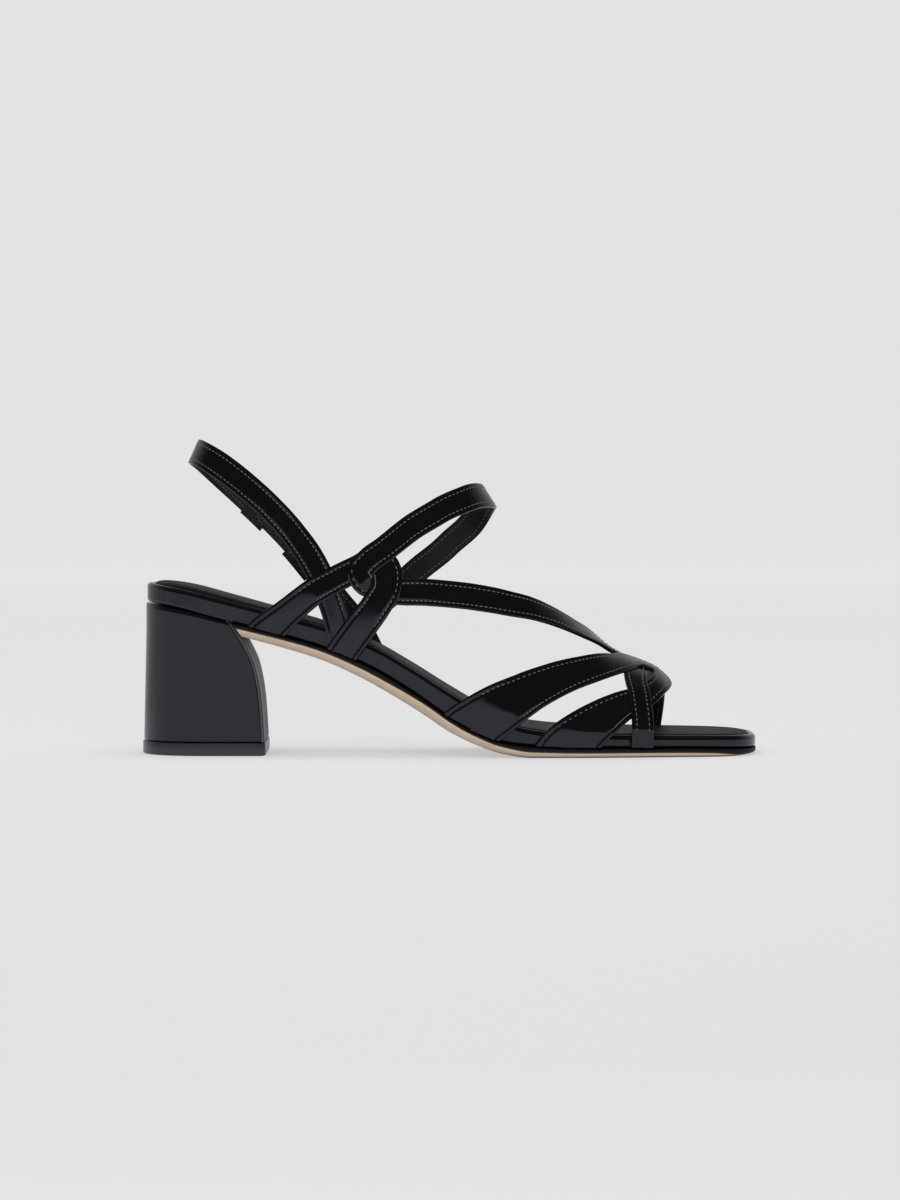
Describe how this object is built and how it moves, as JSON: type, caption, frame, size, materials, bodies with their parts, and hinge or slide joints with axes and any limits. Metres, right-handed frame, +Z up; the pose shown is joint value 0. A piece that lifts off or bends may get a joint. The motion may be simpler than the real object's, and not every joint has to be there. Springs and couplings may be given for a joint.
{
  "type": "heeled sandal",
  "caption": "Strappy slingback sandal in black patent leather, with a block heel, an open soft-square toe, crossed looped straps and an elastic in the ankle strap.",
  "frame": {"origin": "on the floor, under the middle of the shoe's box", "axes": "+X from heel to toe, +Y to the inner side of the foot, +Z up"},
  "size_m": [0.2404, 0.08, 0.1233],
  "materials": {
    "upper": "black patent, stitched edges",
    "sling_elastic": "black woven elastic",
    "insole_sock": "black smooth leather",
    "footbed": "black patent wrapped round the edge",
    "outsole": "tan, trimmed edge",
    "heel_block": "black patent wrapped over the heel",
    "heel_tip": "black satin"
  },
  "bodies": {
    "root": {"upper": "upper", "sling_elastic": "sling_elastic", "insole_sock": "insole_sock", "footbed": "footbed", "outsole": "outsole", "heel_block": "heel_block", "heel_tip": "heel_tip"}
  },
  "joints": []
}
